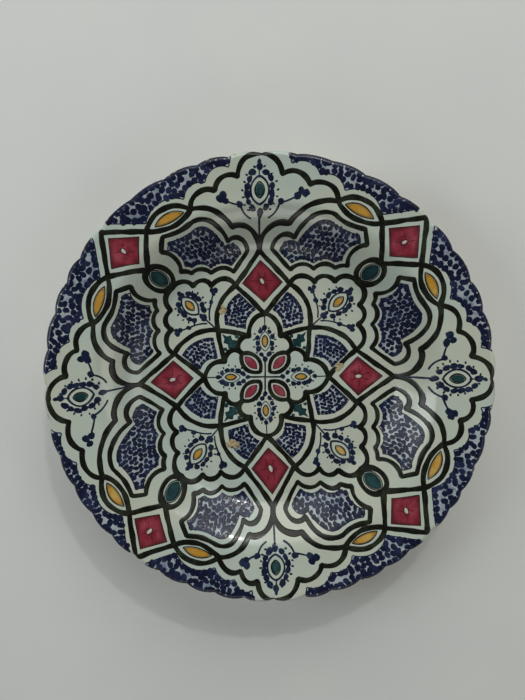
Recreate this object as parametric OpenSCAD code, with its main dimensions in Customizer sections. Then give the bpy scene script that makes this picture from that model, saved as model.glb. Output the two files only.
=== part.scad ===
// Large hand-painted serving plate, thrown in red clay, tin-glazed and painted.
// The plate lies on its foot ring, face up along +Z. The origin is the centre
// of the foot ring's resting plane, and the top of the pattern points to +Y.

/* [Plate] */
// Diameter over the tips of the scalloped rim
plate_d = 400; // [300:5:450]
// Height of the painted well above the table
well_z = 18; // [12:0.5:30]
// How far the middle of the well sits below its edge
well_dish = 0.8; // [0:0.1:3]
// Climb of the curved wall between well and rim
wall_rise = 32; // [10:0.5:45]
// Radius where the wall starts to climb
wall_start = 112; // [90:1:125]
// Radius where the wall ends
wall_end = 160; // [140:1:175]
// Extra climb of the flat rim, from wall to edge
rim_rise = 7; // [0:0.5:12]
// Thickness of the plate under the well, glazes included
plate_t = 9; // [6:0.5:14]

/* [Scallops] */
// Angle of the first notch, from +X
first_notch = 8.5; // [0:0.5:12]
// Depth of the pinched notches between the rim lobes
notch_depth = 3; // [0.5:0.1:6]

/* [Foot ring] */
// Outer diameter of the foot ring
foot_d = 170; // [120:2:220]
// Width of the foot ring
foot_w = 9; // [5:0.5:14]

/* [Glaze and paint] */
// Thickness of the white glaze on the face
face_glaze_t = 1; // [0.6:0.1:2]
// Thickness of the thin glaze on the back
back_glaze_t = 0.8; // [0.5:0.1:2]
// Thickness of the painted enamel
paint_t = 0.4; // [0.3:0.05:0.8]
// Width of the black strap lines
strap_w = 4.6; // [2:0.1:6]
// How much the painter's hand strays from the ideal drawing
hand_drift = 1; // [0:0.1:1.5]

/* [Hidden] */
rim_r = plate_d / 2;
foot_r = foot_d / 2;
paint_edge_r = rim_r - notch_depth - 0.6;
arc_steps = 3;
// Widths in degrees of the lobes pinched one after another round the rim.
lobe_deg = [
    9.5, 8.5, 9, 9, 10, 10.5, 9, 9, 9, 8.5, 8, 9, 10, 10, 9.5,
    7, 8.5, 9.5, 9.5, 9.5, 9, 8.5, 8.5, 7.5, 8, 7.5, 8, 7.5, 8, 7.5,
    8, 7.5, 8, 7.5, 7.5, 7.5, 7.5, 5.5, 7.5, 8, 6.5, 8.5, 8
];
// Radii at which the two curved surfaces change slope.
face_radii = [0, 60, 112, 118, 123, 128, 133, 138, 143, 148, 154, 160, 172, 185, 195];
back_radii = [0, 60, 118, 124, 129, 134, 139, 144, 149, 154, 160, 166, 178, 194];

// The eight spokes of the pattern drift a little. Each row is one ring of the
// pattern: how far it has turned, in degrees, and how far it has moved out, in mm.
pattern_centre = [-3.5, -0.3];
drift_rings = [0, 60, 90, 121, 168, 198];
drift_turn = [
    [0, 0, 0, 0, 0, 0, 0, 0],
    [0.8, 3.1, 0.5, 0.1, 0.7, 2.7, 2.0, 2.2],
    [0.6, 0.9, 1.8, 1.7, 1.8, 3.6, 3.6, 0.5],
    [0.4, 0.6, 2.6, 1.1, 3.2, 5.0, 3.5, 1.0],
    [0.6, -0.2, 1.7, 2.5, 5.1, 7.5, 3.2, 2.1],
    [0.4, 0.6, 1.6, 2.8, 5.0, 8.9, 3.0, 1.9]
];
drift_out = [
    [0, 0, 0, 0, 0, 0, 0, 0],
    [1.5, 0.4, 1.3, 0.3, -1.0, 0.6, -1.8, -1.1],
    [0, 0, 1.8, -0.4, -1.5, -1.0, -0.7, 1.6],
    [1.0, 0.6, -1.6, -2.9, -2.3, -0.8, 3.4, 2.5],
    [2.5, 1.2, -1.1, -2.5, -3.2, -0.2, 1.0, 1.3],
    [3.0, 2.5, 0.4, -4.6, -5.0, -1.8, 0.5, 0.9]
];
// Between two spokes the outer rings stray a little more than their mean.
between_turn = [1.0, -0.75, -0.7, 0, 2.4, 2.15, 1.05, 1.15];
between_out = [-0.65, 3.2, -0.7, -3.5, 4.1, -1.9, -1.35, 0.4];

// ---- the surfaces of the plate ----
function step3(t) = t * t * (3 - 2 * t);
function unit(t) = min(1, max(0, t));
function climb(r) = step3(unit((r - wall_start) / (wall_end - wall_start)));
function lift(r) = rim_rise * pow(max(0, (r - 150) / 50), 1.3);
function face_z(r) = well_z + well_dish * pow(min(1, r / 118), 2) + wall_rise * climb(r) + lift(r);
function back_z(r) = well_z - plate_t + (wall_rise + 1.5) * climb(r - 6) + 1.1 * lift(r);
function face_line(up) = concat(
    [for (r = face_radii) [r, face_z(r) + up]],
    [[rim_r - 1.6, face_z(rim_r - 1.6) - 1 + up], [rim_r, face_z(rim_r) - 3 + up]]
);
function back_line(up) = concat(
    [for (r = back_radii) [r, back_z(r) + up]],
    [[rim_r - 2, back_z(rim_r - 2) + 0.6 + up], [rim_r, back_z(rim_r) + 2 + up]]
);
function reversed(list) = [for (i = [len(list) - 1:-1:0]) list[i]];

// ---- the scalloped outline ----
function notch_at(i) = i == 0 ? first_notch : notch_at(i - 1) + lobe_deg[i - 1];
function shallow(a) = 1 - 0.6 * exp(-pow((a - 76) / 9, 2)) - 0.6 * exp(-pow((a - 130) / 10, 2));
function notch_in(a) = notch_depth * (0.88 + 0.12 * sin(3 * a)) * shallow(a);
function edge_r(a, f) = rim_r - notch_in(a) * (1 - pow(sin(180 * f), 0.7));
outline = [
    for (i = [0:len(lobe_deg) - 1])
        for (s = [0:3])
            let (a = notch_at(i) + lobe_deg[i] * s / 4)
                edge_r(a, s / 4) * [cos(a), sin(a)]
];

// ---- the drawing: outlines are lists of [x, y, bulge] ----
// The bulge is the rise of the arc to the next point over half its chord,
// and a positive one swells to the right of the way the outline runs.
function arc_point(p, q, b, t) =
    let (
        along = (q - p) / norm(q - p),
        right = [along.y, -along.x],
        half = norm(q - p) / 2,
        radius = half * (1 + b * b) / (2 * b),
        turn = 2 * atan(b) * (2 * t - 1),
        middle = (p + q) / 2 + right * (half * b - radius)
    )
    middle + radius * (right * cos(turn) + along * sin(turn));
function flat(p) = [p.x, p.y];
function arc(p, q, steps) =
    let (b = len(p) > 2 ? p.z : 0)
    b == 0 ? [flat(p)] : [for (s = [0:steps - 1]) arc_point(flat(p), flat(q), b, s / steps)];
function open_path(list, steps) = concat(
    [for (i = [0:len(list) - 2]) each arc(list[i], list[i + 1], steps)],
    [flat(list[len(list) - 1])]
);
function closed_path(list, steps) =
    [for (i = [0:len(list) - 1]) each arc(list[i], list[(i + 1) % len(list)], steps)];

// ---- the painter's drift ----
function blend(a, b, t) = a + (b - a) * t;
function spoke(rows, extra, ring, k) =
    k % 2 == 0
        ? rows[ring][(k / 2) % 8]
        : (rows[ring][floor(k / 2) % 8] + rows[ring][ceil(k / 2) % 8]) / 2
            + (ring > 3 ? extra[floor(k / 2) % 8] : 0);
function on_ring(rows, extra, ring, a) =
    let (k = floor(a / 22.5), t = step3(a / 22.5 - k))
    blend(spoke(rows, extra, ring, k), spoke(rows, extra, ring, k + 1), t);
function ring_of(r) = r < 60 ? 0 : r < 90 ? 1 : r < 121 ? 2 : r < 168 ? 3 : 4;
function drift_of(rows, extra, r, a) =
    let (
        i = ring_of(r),
        t = min(1, (r - drift_rings[i]) / (drift_rings[i + 1] - drift_rings[i]))
    )
    hand_drift * blend(on_ring(rows, extra, i, a), on_ring(rows, extra, i + 1, a), t);
function drifted(p) =
    let (
        r = norm(p),
        a0 = atan2(p.y, p.x),
        a = a0 < 0 ? a0 + 360 : a0,
        turned = a + drift_of(drift_turn, between_turn, r, a),
        moved = r + drift_of(drift_out, between_out, r, a)
    )
    pattern_centre + moved * [cos(turned), sin(turned)];

// Copy number c of the eighth between +X and the diagonal: four turns, each
// plain and mirrored.
function placed(p, c) =
    let (y = c % 2 == 0 ? p.y : -p.y, a = 90 * floor(c / 2))
    drifted([p.x * cos(a) - y * sin(a), p.x * sin(a) + y * cos(a)]);
function all_placed(list, c) = [for (p = list) placed(p, c)];

// ---- strokes ----
function way(list, i) =
    let (d = list[min(len(list) - 1, i + 1)] - list[max(0, i - 1)])
    d / norm(d);
function side(list, i, w) = let (d = way(list, i)) list[i] + [-d.y, d.x] * w;
function stroke(list, w) = concat(
    [for (i = [0:len(list) - 1]) side(list, i, w / 2)],
    [for (i = [len(list) - 1:-1:0]) side(list, i, -w / 2)]
);
module line(list, w, copies = [0:7]) {
    for (c = copies) polygon(stroke(all_placed(open_path(list, arc_steps), c), w));
}
module area(list, copies = [0:7], steps = arc_steps) {
    for (c = copies) polygon(all_placed(closed_path(list, steps), c));
}
module dab(at, rx, ry, copies = [0:7]) {
    for (c = copies)
        polygon(all_placed([for (a = [0:60:300]) at + [rx * cos(a), ry * sin(a)]], c));
}
// A dab on the diagonal flower, u along the diagonal and v across it.
module diagonal_dab(u, v, r, copies = [0:7]) {
    dab([(u - v) * sqrt(0.5), (u + v) * sqrt(0.5)], r, r, copies);
}

module coat(t) {
    inner = [for (p = face_line(0)) if (p.x < paint_edge_r) p];
    outer = [for (p = face_line(t)) if (p.x < paint_edge_r) p];
    end = [paint_edge_r, face_z(paint_edge_r)];
    rotate_extrude($fn = 180) polygon(concat(inner, [end, end + [0, t]], reversed(outer)));
}
module painted() {
    intersection() {
        linear_extrude(height = 80) children();
        coat(paint_t);
    }
}
// Crossing strokes are merged into one clean outline before they get a thickness.
module inked() {
    painted() offset(delta = 0.01) children();
}

// The thrown clay wall and well, without its foot ring.
module clay_body() {
    color("peru")
        intersection() {
            linear_extrude(height = 80) polygon(outline);
            rotate_extrude($fn = 180)
                polygon(concat(back_line(back_glaze_t), reversed(face_line(-face_glaze_t))));
        }
}

// The turned ring luted to the underside.
module foot_ring() {
    top = well_z - plate_t + back_glaze_t;
    color("chocolate")
        rotate_extrude($fn = 180)
            polygon([
                [foot_r - foot_w + 1.2, 0], [foot_r - 1.2, 0], [foot_r, 1.2],
                [foot_r, top], [foot_r - foot_w, top], [foot_r - foot_w, 1.2]
            ]);
}

// White tin glaze over the whole face.
module face_glaze() {
    color("ivory")
        intersection() {
            linear_extrude(height = 80) polygon(outline);
            rotate_extrude($fn = 180)
                polygon(concat(face_line(-face_glaze_t), reversed(face_line(0))));
        }
}

// Thin glaze on the back, from the foot ring out to the edge.
module back_glaze() {
    outer = [for (p = back_line(0)) if (p.x > foot_r) p];
    inner = [for (p = back_line(back_glaze_t)) if (p.x > foot_r) p];
    start = [foot_r, back_z(foot_r)];
    color("antiquewhite")
        intersection() {
            linear_extrude(height = 80) polygon(outline);
            rotate_extrude($fn = 180)
                polygon(concat([start], outer, reversed(inner), [start + [0, back_glaze_t]]));
        }
}

// The black interlaced straps that carry the whole pattern.
module strap_lines() {
    color("darkslategray")
        inked() {
            line([[58.5, 0], [86.5, 25], [121, 0]], strap_w);
            line([[86.5, 25, 0.32], [44.2, 44.2, 0.06], [14.8, 38.5]], strap_w);
            line([[58.5, 0, 0.44], [38, 14.8, 0.8], [21.5, 21.5]], strap_w);
            line([[5, 4.6, 0.6], [22, 21.5]], strap_w - 0.5);
            line([[86.5, 25, 0.6], [88, 48.5, 0.62], [89, 67, 0.55], [87.3, 87.3]], strap_w);
            line([[88.3, 88.3, 0.97], [104, 103.6]], strap_w);
            line([[103.4, 103.4], [136.8, 100.9], [139.5, 139.5]], strap_w);
            line([
                [197, 0, 0.42], [179.5, 19.2, 0.51], [169.3, 40.3, 0.54],
                [154.3, 62.6, 0.49], [136.8, 100.9]
            ], strap_w);
            line([
                [121, 0, 0.54], [140.2, 25.5, 0.3], [154.3, 62.6, -0.31], [136.8, 100.9]
            ], strap_w);
            line([
                [100.5, 26.5, 0.45], [101, 48.5, 0.45], [101.5, 67.5, 0.2], [102.5, 77.5, 0.5],
                [119, 90.5], [131.5, 87.5, 0.13], [142.5, 63, -0.32], [143, 42.5, -0.15],
                [129, 30.5, -0.64], [121.5, 11.5], [100.5, 26.5]
            ], strap_w - 0.4);
        }
}

// The eight blue fields between the outer straps and the edge.
module cobalt_rim_field() {
    color("navy")
        painted()
            area([
                [205, 22], [198, 22.5, 0.2], [187, 26.5, 0.5], [175.8, 48.5, 0.5],
                [162.5, 68, 0.45], [143.6, 101], [146.3, 132], [150, 140], [185, 88]
            ]);
}

// The eight cloud-shaped blue fields round the middle of the plate.
module cobalt_clouds() {
    color("navy")
        painted()
            area([
                [107, 28.5, 0.4], [106.5, 48.5, 0.4], [106.5, 66.5, 0.2], [107.5, 72.5, 0.45],
                [120.5, 85], [127, 83, 0.1], [137, 61, -0.36], [137, 45, -0.1],
                [124.5, 33.5, -0.6], [119.5, 18.5]
            ]);
}

// The eight fan-shaped blue fields round the centre flower.
module cobalt_fans() {
    color("navy")
        painted()
            area([[62.5, 8], [78.8, 22.8, 0.3], [49.5, 37.2], [45.5, 18, -0.36]]);
}

// The four red diamonds on the axes.
module middle_lozenges() {
    color("crimson")
        painted()
            area([[69.5, 0], [88, -18.5], [111, 0], [88, 18.5]], [0:2:6]);
}

// The four red squares on the diagonals.
module corner_lozenges() {
    color("crimson")
        painted()
            area([[109.3, 109.3], [132.8, 107], [133.5, 133.5], [107, 132.8]], [0:2:6]);
}

// The four small red petals round the centre.
module red_petals() {
    color("firebrick")
        painted()
            area([[7.4, 7.4, 0.5], [19.5, 19.5, 0.5]], [0:2:6], 5);
}

// The eight yellow leaves beside the red squares.
module yellow_leaves() {
    color("goldenrod")
        painted()
            area([[151.3, 69.5, 0.4], [140.8, 92.5, 0.2]], [0:7], 5);
}

// The four round green leaves that tie the straps on the diagonals.
module green_leaves() {
    color("teal")
        painted()
            area([[90.4, 90.4, 0.78], [101.6, 101.6, 0.78]], [0:2:6], 6);
}

// The four green stars in the small squares round the centre.
module green_stars() {
    color("teal")
        painted()
            area([
                [26, 26], [30.3, 27.7], [34.8, 26.8], [35.2, 31], [39.4, 32.2], [38.4, 36.2],
                [41, 41], [36.2, 38.4], [32.2, 39.4], [31, 35.2], [26.8, 34.8], [27.7, 30.3]
            ], [0:2:6]);
}

// Green-eyed flowers under the four outer arches.
module axis_flowers() {
    color("midnightblue")
        inked() {
            area([[162.3, 0, 0.62], [174, 0, 0.62]], [0:2:6], 5);
            line([[157.5, 0, -0.66], [178, 0, -0.66], [157.5, 0]], 1.4, [0:2:6]);
            for (p = [[154, 6.5], [158.8, 10.3], [165, 12], [171.3, 12], [177.3, 10.2], [182, 6.5]])
                dab(p, 2.9, 2.3);
            dab([149.5, 0], 3.7, 2.9, [0:2:6]);
            dab([187, 0], 4, 3, [0:2:6]);
            line([[124, 0], [146.6, 0]], 1.6, [0:2:6]);
            line([[146, 8, -0.25], [156.5, 17, -0.1], [160, 29]], 1.7);
            dab([157.2, 18], 2.6, 2.6);
            dab([162.4, 33], 4.4, 4.4);
        }
}

// Yellow-eyed flowers that fill the four diagonal shields.
module corner_flowers() {
    color("midnightblue")
        inked() {
            area([[66.3, 66.3, 0.5], [74, 74, 0.5]], [0:2:6], 5);
            line([[63.2, 63.2, -0.52], [77, 77, -0.52], [63.2, 63.2]], 1.4, [0:2:6]);
            for (p = [[86, 6.6], [91.3, 9.8], [97.3, 11], [103.4, 10.4], [108.6, 7.2]])
                diagonal_dab(p[0], -p[1], 2.5);
            diagonal_dab(81.5, 0, 4, [0:2:6]);
            diagonal_dab(113.5, 0, 4.2, [0:2:6]);
            line([[46, 46], [55.4, 55.4]], 1.6, [0:2:6]);
            line([[54.5, 51.5, -0.12], [69.5, 49.6], [79, 46.8]], 1.6);
            dab([71.5, 49.4], 2.6, 2.6);
            dab([82.3, 46], 4.2, 4.2);
        }
}

// Yellow-eyed flowers inside the four centre petals.
module petal_flowers() {
    color("midnightblue")
        inked() {
            area([[28.5, 0, 0.46], [38, 0, 0.46]], [0:2:6], 5);
            line([[26, 0, -0.52], [41, 0, -0.52], [26, 0]], 1.1, [0:2:6]);
            for (p = [[21, 4.6], [26, 7.2], [31.5, 8.4], [37, 7.8], [41.5, 5.2]])
                dab(p, 2.2, 2);
            dab([16.5, 0], 2.8, 2.2, [0:2:6]);
            dab([45.5, 0], 2.6, 2.2, [0:2:6]);
            line([[0, 0], [15, 0]], 1.3, [0:2:6]);
            line([[48, 0], [55.5, 0]], 1.1, [0:2:6]);
        }
}

clay_body();
foot_ring();
face_glaze();
back_glaze();
strap_lines();
cobalt_rim_field();
cobalt_clouds();
cobalt_fans();
middle_lozenges();
corner_lozenges();
red_petals();
yellow_leaves();
green_leaves();
green_stars();
axis_flowers();
corner_flowers();
petal_flowers();
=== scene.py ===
"""Large serving plate in red clay, tin-glazed and painted by hand.

The plate lies on its foot ring, face up. The drawing is worked out in millimetres as one eighth of the
pattern, mirrored and turned round the plate, then shifted by the painter's drift. Every painted piece is a
thin closed body that lies on the glaze and follows its surface.
"""

import bpy
import numpy as np
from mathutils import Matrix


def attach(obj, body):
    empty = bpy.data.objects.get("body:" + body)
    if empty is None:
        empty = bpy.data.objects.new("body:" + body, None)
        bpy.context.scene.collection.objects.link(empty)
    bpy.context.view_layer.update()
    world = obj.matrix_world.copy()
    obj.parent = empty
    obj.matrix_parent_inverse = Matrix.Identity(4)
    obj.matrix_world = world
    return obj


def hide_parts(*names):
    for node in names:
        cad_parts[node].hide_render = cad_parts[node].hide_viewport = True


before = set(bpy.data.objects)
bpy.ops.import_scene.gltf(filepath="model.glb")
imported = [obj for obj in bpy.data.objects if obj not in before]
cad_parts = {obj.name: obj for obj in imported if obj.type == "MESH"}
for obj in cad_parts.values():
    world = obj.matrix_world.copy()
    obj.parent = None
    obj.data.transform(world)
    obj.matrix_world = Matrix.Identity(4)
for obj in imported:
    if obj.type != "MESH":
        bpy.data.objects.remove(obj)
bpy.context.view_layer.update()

MM = 0.001
rng = np.random.default_rng(41)

# ---------------------------------------------------------------- sizes of the thrown plate, in mm
WELL_Z = 18.0
WELL_DISH = 0.8
WALL_RISE = 32.0
WALL_START = 112.0
WALL_END = 160.0
RIM_RISE = 7.0
PLATE_T = 9.0
RIM_R = 199.85
RIM_FROM = 150.0
SCALLOP_FROM = 170.0
FOOT_R = 85.0
FACE_GLAZE_T = 1.0
BACK_GLAZE_T = 0.8
CLAY_OVERLAP = 0.1
FIRST_NOTCH = 8.5
NOTCH_DEPTH = 3.0
LOBE_WIDTHS = np.array(
    [9.5, 8.5, 9, 9, 10, 10.5, 9, 9, 9, 8.5, 8, 9, 10, 10, 9.5, 7, 8.5, 9.5, 9.5, 9.5, 9, 8.5, 8.5]
    + [7.5, 8] * 5 + [7.5] * 4 + [5.5, 7.5, 8, 6.5, 8.5, 8]
)

# ---------------------------------------------------------------- how far the paint stands up, in mm
WASH_LIFT = 0.05
PAINT_LIFT = 0.1
DAB_LIFT = 0.11
FIELD_DAB_LIFT = 0.06
BORDER_LIFT = 0.12
STROKE_LIFT = 0.13
TICK_LIFT = 0.09
PETAL_TICK_LIFT = 0.12
SPOT_LIFT = 0.19
PAINT_SUNK = 0.3

# ---------------------------------------------------------------- the painter's drift
# A row for each ring of the pattern and a column for each of its eight spokes, from +X round to the left:
# degrees turned, then mm pushed out.
CENTRE = np.array([-3.5, -0.3])
RINGS = np.array([0, 60, 90, 121, 168, 198.0])
DRIFT_TURN = np.array([
    [0, 0, 0, 0, 0, 0, 0, 0],
    [0.8, 3.1, 0.5, 0.1, 0.7, 2.7, 2.0, 2.2],
    [0.6, 0.9, 1.8, 1.7, 1.8, 3.6, 3.6, 0.5],
    [0.4, 0.6, 2.6, 1.1, 3.2, 5.0, 3.5, 1.0],
    [0.6, -0.2, 1.7, 2.5, 5.1, 7.5, 3.2, 2.1],
    [0.4, 0.6, 1.6, 2.8, 5.0, 8.9, 3.0, 1.9],
])
DRIFT_OUT = np.array([
    [0, 0, 0, 0, 0, 0, 0, 0],
    [1.5, 0.4, 1.3, 0.3, -1.0, 0.6, -1.8, -1.1],
    [0, 0, 1.8, -0.4, -1.5, -1.0, -0.7, 1.6],
    [1.0, 0.6, -1.6, -2.9, -2.3, -0.8, 3.4, 2.5],
    [2.5, 1.2, -1.1, -2.5, -3.2, -0.2, 1.0, 1.3],
    [3.0, 2.5, 0.4, -4.6, -5.0, -1.8, 0.5, 0.9],
])
# What the two outer rings add halfway between one spoke and the next.
BETWEEN_TURN = np.array([1.0, -0.75, -0.7, 0, 2.4, 2.15, 1.05, 1.15])
BETWEEN_OUT = np.array([-0.65, 3.2, -0.7, -3.5, 4.1, -1.9, -1.35, 0.4])

# Bare spots where the glaze has flaked off: place, half length, half width, turn in degrees.
FLAKES = [(-43.6, 63.0, 4.4, 3.5, 75), (-34.0, -64.6, 6.2, 4.2, -15), (66.8, 9.3, 4.8, 3.2, 40)]


def smooth_step(t):
    """3t^2 - 2t^3 between 0 and 1, held flat outside."""
    t = np.clip(t, 0, 1)
    return t * t * (3 - 2 * t)


def polar(points):
    """Radius and angle in degrees of each (x, y)."""
    x, y = points[..., 0], points[..., 1]
    return np.hypot(x, y), np.degrees(np.arctan2(y, x))


def from_polar(r, angle):
    """The (x, y) at each radius and angle in degrees."""
    a = np.radians(angle)
    return np.stack([r * np.cos(a), r * np.sin(a)], axis=-1)


def rim_lift(r):
    """The rim's extra climb: its rise times the 1.3 power of the way from the rim's start out to 200 mm."""
    return RIM_RISE * (np.maximum(0, r - RIM_FROM) / (200 - RIM_FROM)) ** 1.3


def face_height(r):
    """Height of the face: a shallow parabola in the well, a smooth step up the wall, then the rim's lift,
    rounded down over the last few millimetres into the lip."""
    wall = smooth_step((r - WALL_START) / (WALL_END - WALL_START))
    lip = 3.0 * (np.maximum(0, r - 195.2) / 4.8) ** 2
    return WELL_Z + WELL_DISH * np.minimum(1, r / 118) ** 2 + WALL_RISE * wall + rim_lift(r) - lip


def back_height(r):
    """Height of the back: the face's curve moved 6 mm out and a plate's thickness down, climbing a little
    more, rounded up at the lip."""
    wall = smooth_step((r - 6 - WALL_START) / (WALL_END - WALL_START))
    lip = 2.2 * (np.maximum(0, r - 195.5) / 4.5) ** 2
    return WELL_Z - PLATE_T + (WALL_RISE + 1.5) * wall + 1.1 * rim_lift(r) + lip


def edge_radius(angle):
    """Outer radius at an angle in degrees: the full radius less the notch depth times one minus the 0.7 power
    of a half sine over each pinched lobe. The notches are shallower at two places."""
    starts = np.concatenate([[0], np.cumsum(LOBE_WIDTHS)])
    a = (angle - FIRST_NOTCH) % 360
    lobe = np.clip(np.searchsorted(starts, a, side="right") - 1, 0, len(LOBE_WIDTHS) - 1)
    part = np.clip((a - starts[lobe]) / LOBE_WIDTHS[lobe], 0, 1)
    turn = angle % 360
    shallow = 1 - 0.6 * np.exp(-(((turn - 76) / 9) ** 2)) - 0.6 * np.exp(-(((turn - 130) / 10) ** 2))
    depth = NOTCH_DEPTH * (0.88 + 0.12 * np.sin(np.radians(3 * turn))) * shallow
    return RIM_R - depth * (1 - np.sin(np.pi * part) ** 0.7)


def hand_waves(r, angle):
    """How far the thrown surface lies under its ideal height: fine throwing rings from a sine of the radius,
    plus a slow warp that grows with the square of the radius."""
    a = np.radians(angle)
    rings = 0.05 * (1 + np.sin(r / 2.9 + 0.7 * np.sin(a + 0.4)))
    warp = 0.22 * (r / 200) ** 2 * (2 + np.sin(2 * a + 0.8) + np.sin(3 * a - 1.1))
    return rings + warp


def nominal_radius(r, angle):
    """The radius a point would have on a plain round plate: near the edge the scallops stretch or squeeze
    it."""
    squeeze = (RIM_R - SCALLOP_FROM) / (edge_radius(angle) - SCALLOP_FROM)
    return np.where(r > SCALLOP_FROM, SCALLOP_FROM + (r - SCALLOP_FROM) * squeeze, r)


def glaze_top(points):
    """Height in mm of the glazed face at each (x, y)."""
    r, angle = polar(points)
    n = nominal_radius(r, angle)
    return face_height(n) - hand_waves(n, angle)


EDGE_ROOM = 0.12


def kept_on(points):
    """Points past the scalloped edge are drawn back just inside it, along their own radius."""
    r, angle = polar(points)
    limit = edge_radius(angle) - EDGE_ROOM
    return points * np.minimum(1, limit / np.maximum(r, 1))[..., None]


# ---------------------------------------------------------------- the drawing
def spoke_table(rows, between):
    """Sixteen columns from eight: each new one is the mean of its neighbours, and on the two outer rings
    what the drawing strays there is added."""
    middle = (rows + np.roll(rows, -1, axis=1)) / 2
    middle[4:] += between
    table = np.empty((len(rows), 2 * rows.shape[1]))
    table[:, 0::2] = rows
    table[:, 1::2] = middle
    return table


TURN_TABLE = spoke_table(DRIFT_TURN, BETWEEN_TURN)
OUT_TABLE = spoke_table(DRIFT_OUT, BETWEEN_OUT)


def drift_value(table, r, angle):
    """Value of a drift table: smooth step between two columns, straight line between two rings."""
    columns = table.shape[1]
    step = 360 / columns
    k = np.floor(angle / step).astype(int)
    t = smooth_step(angle / step - k)
    i = np.clip(np.searchsorted(RINGS, r, side="right") - 1, 0, len(RINGS) - 2)
    u = np.minimum(1, (r - RINGS[i]) / (RINGS[i + 1] - RINGS[i]))
    low = table[i, k % columns] * (1 - t) + table[i, (k + 1) % columns] * t
    high = table[i + 1, k % columns] * (1 - t) + table[i + 1, (k + 1) % columns] * t
    return low * (1 - u) + high * u


def drifted(points):
    """Ideal points moved to where the painter's hand put them: turned and pushed out by the two tables."""
    r, angle = polar(points)
    angle = angle % 360
    moved = r + drift_value(OUT_TABLE, r, angle)
    return CENTRE + from_polar(moved, angle + drift_value(TURN_TABLE, r, angle))


def placed(points, copy):
    """Copy 0 to 7 of something drawn in the first eighth: turned by quarters, each plain and mirrored."""
    x = points[..., 0]
    y = points[..., 1] if copy % 2 == 0 else -points[..., 1]
    a = np.radians(90 * (copy // 2))
    turned = np.stack([x * np.cos(a) - y * np.sin(a), x * np.sin(a) + y * np.cos(a)], axis=-1)
    return drifted(turned)


ARC_STEPS = 14


def arc(start, end, steps):
    """Points along one arc. The start's third number, the bulge, is the arc's rise over half its chord; a
    positive one swells to the right of the way it runs. The end point is left out."""
    p = np.array(start[:2], float)
    q = np.array(end[:2], float)
    bulge = start[2] if len(start) > 2 else 0
    t = np.arange(steps) / steps
    if bulge == 0:
        return p + (q - p) * t[:, None]
    chord = np.hypot(*(q - p))
    along = (q - p) / chord
    right = np.array([along[1], -along[0]])
    radius = chord * (1 + bulge * bulge) / (4 * bulge)
    turn = 2 * np.arctan(bulge) * (2 * t[:, None] - 1)
    middle = (p + q) / 2 + right * (chord * bulge / 2 - radius)
    return middle + radius * (right * np.cos(turn) + along * np.sin(turn))


def open_path(corners, steps=ARC_STEPS):
    """Arcs from corner to corner, with the last corner."""
    parts = [arc(corners[i], corners[i + 1], steps) for i in range(len(corners) - 1)]
    return np.vstack(parts + [np.array([corners[-1][:2]], float)])


def closed_path(corners, steps):
    """Arcs from corner to corner and back to the first."""
    return np.vstack([arc(corners[i], corners[(i + 1) % len(corners)], steps) for i in range(len(corners))])


def running_length(path):
    """Length of the line from its first point to each point."""
    return np.concatenate([[0], np.cumsum(np.hypot(*np.diff(path, axis=0).T))])


def points_at(path, run, at):
    """Points of the line at given distances along it, from its running length."""
    return np.stack([np.interp(at, run, path[:, 0]), np.interp(at, run, path[:, 1])], axis=-1)


def resampled(path, step):
    """The same line with points about one step apart."""
    run = running_length(path)
    count = max(3, int(np.ceil(run[-1] / step)) + 1)
    return points_at(path, run, np.linspace(0, run[-1], count))


def joined_up(line):
    """A closed line with its first point again at the end."""
    return np.vstack([line, line[:1]])


# ---------------------------------------------------------------- making meshes
NO_TRIS = np.zeros((0, 3), int)


def make_piece(name, points, quads, tris, values=None):
    """A mesh object from points in mm, arrays of four- and three-cornered faces, and named point values."""
    mesh = bpy.data.meshes.new(name)
    corners = np.concatenate([quads.ravel(), tris.ravel()]).astype(np.int32)
    sizes = np.concatenate([np.full(len(quads), 4), np.full(len(tris), 3)]).astype(np.int32)
    mesh.vertices.add(len(points))
    mesh.vertices.foreach_set("co", (points * MM).astype(np.float32).ravel())
    mesh.loops.add(len(corners))
    mesh.loops.foreach_set("vertex_index", corners)
    mesh.polygons.add(len(sizes))
    starts = np.concatenate([[0], np.cumsum(sizes)[:-1]]).astype(np.int32)
    mesh.polygons.foreach_set("loop_start", starts)
    mesh.polygons.foreach_set("loop_total", sizes)
    mesh.polygons.foreach_set("use_smooth", np.ones(len(sizes), bool))
    mesh.update(calc_edges=True)
    for key, value in (values or {}).items():
        layer = mesh.attributes.new(key, "FLOAT", "POINT")
        layer.data.foreach_set("value", np.asarray(value, np.float32))
    piece = bpy.data.objects.new(name, mesh)
    bpy.context.scene.collection.objects.link(piece)
    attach(piece, "root")
    return piece


def grid_faces(rows, cols, wrap_rows, wrap_cols, start=0):
    """Four-cornered faces of a grid of points numbered row by row, closed round either way if asked."""
    r = np.arange(rows if wrap_rows else rows - 1)
    c = np.arange(cols if wrap_cols else cols - 1)
    rr, cc = np.meshgrid(r, c, indexing="ij")
    r2 = (rr + 1) % rows
    c2 = (cc + 1) % cols
    faces = np.stack([rr * cols + cc, rr * cols + c2, r2 * cols + c2, r2 * cols + cc], axis=-1)
    return faces.reshape(-1, 4) + start


def fan(ring, tip, upward=True):
    """Triangles from each side of a ring of points to one tip, turned to face up or down."""
    after = np.roll(ring, -1)
    first, second = (ring, after) if upward else (after, ring)
    return np.stack([first, second, np.full(len(ring), tip)], axis=-1)


def ragged_oval(half_long, half_wide, turn, ragged):
    """Points round a turned oval, whose radius is scaled by one ragged share for each point."""
    a = np.arange(ragged.shape[-1]) / ragged.shape[-1] * 2 * np.pi
    u = half_long * np.cos(a) * ragged
    v = half_wide * np.sin(a) * ragged
    return np.stack([u * np.cos(turn) - v * np.sin(turn), u * np.sin(turn) + v * np.cos(turn)], axis=-1)


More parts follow.
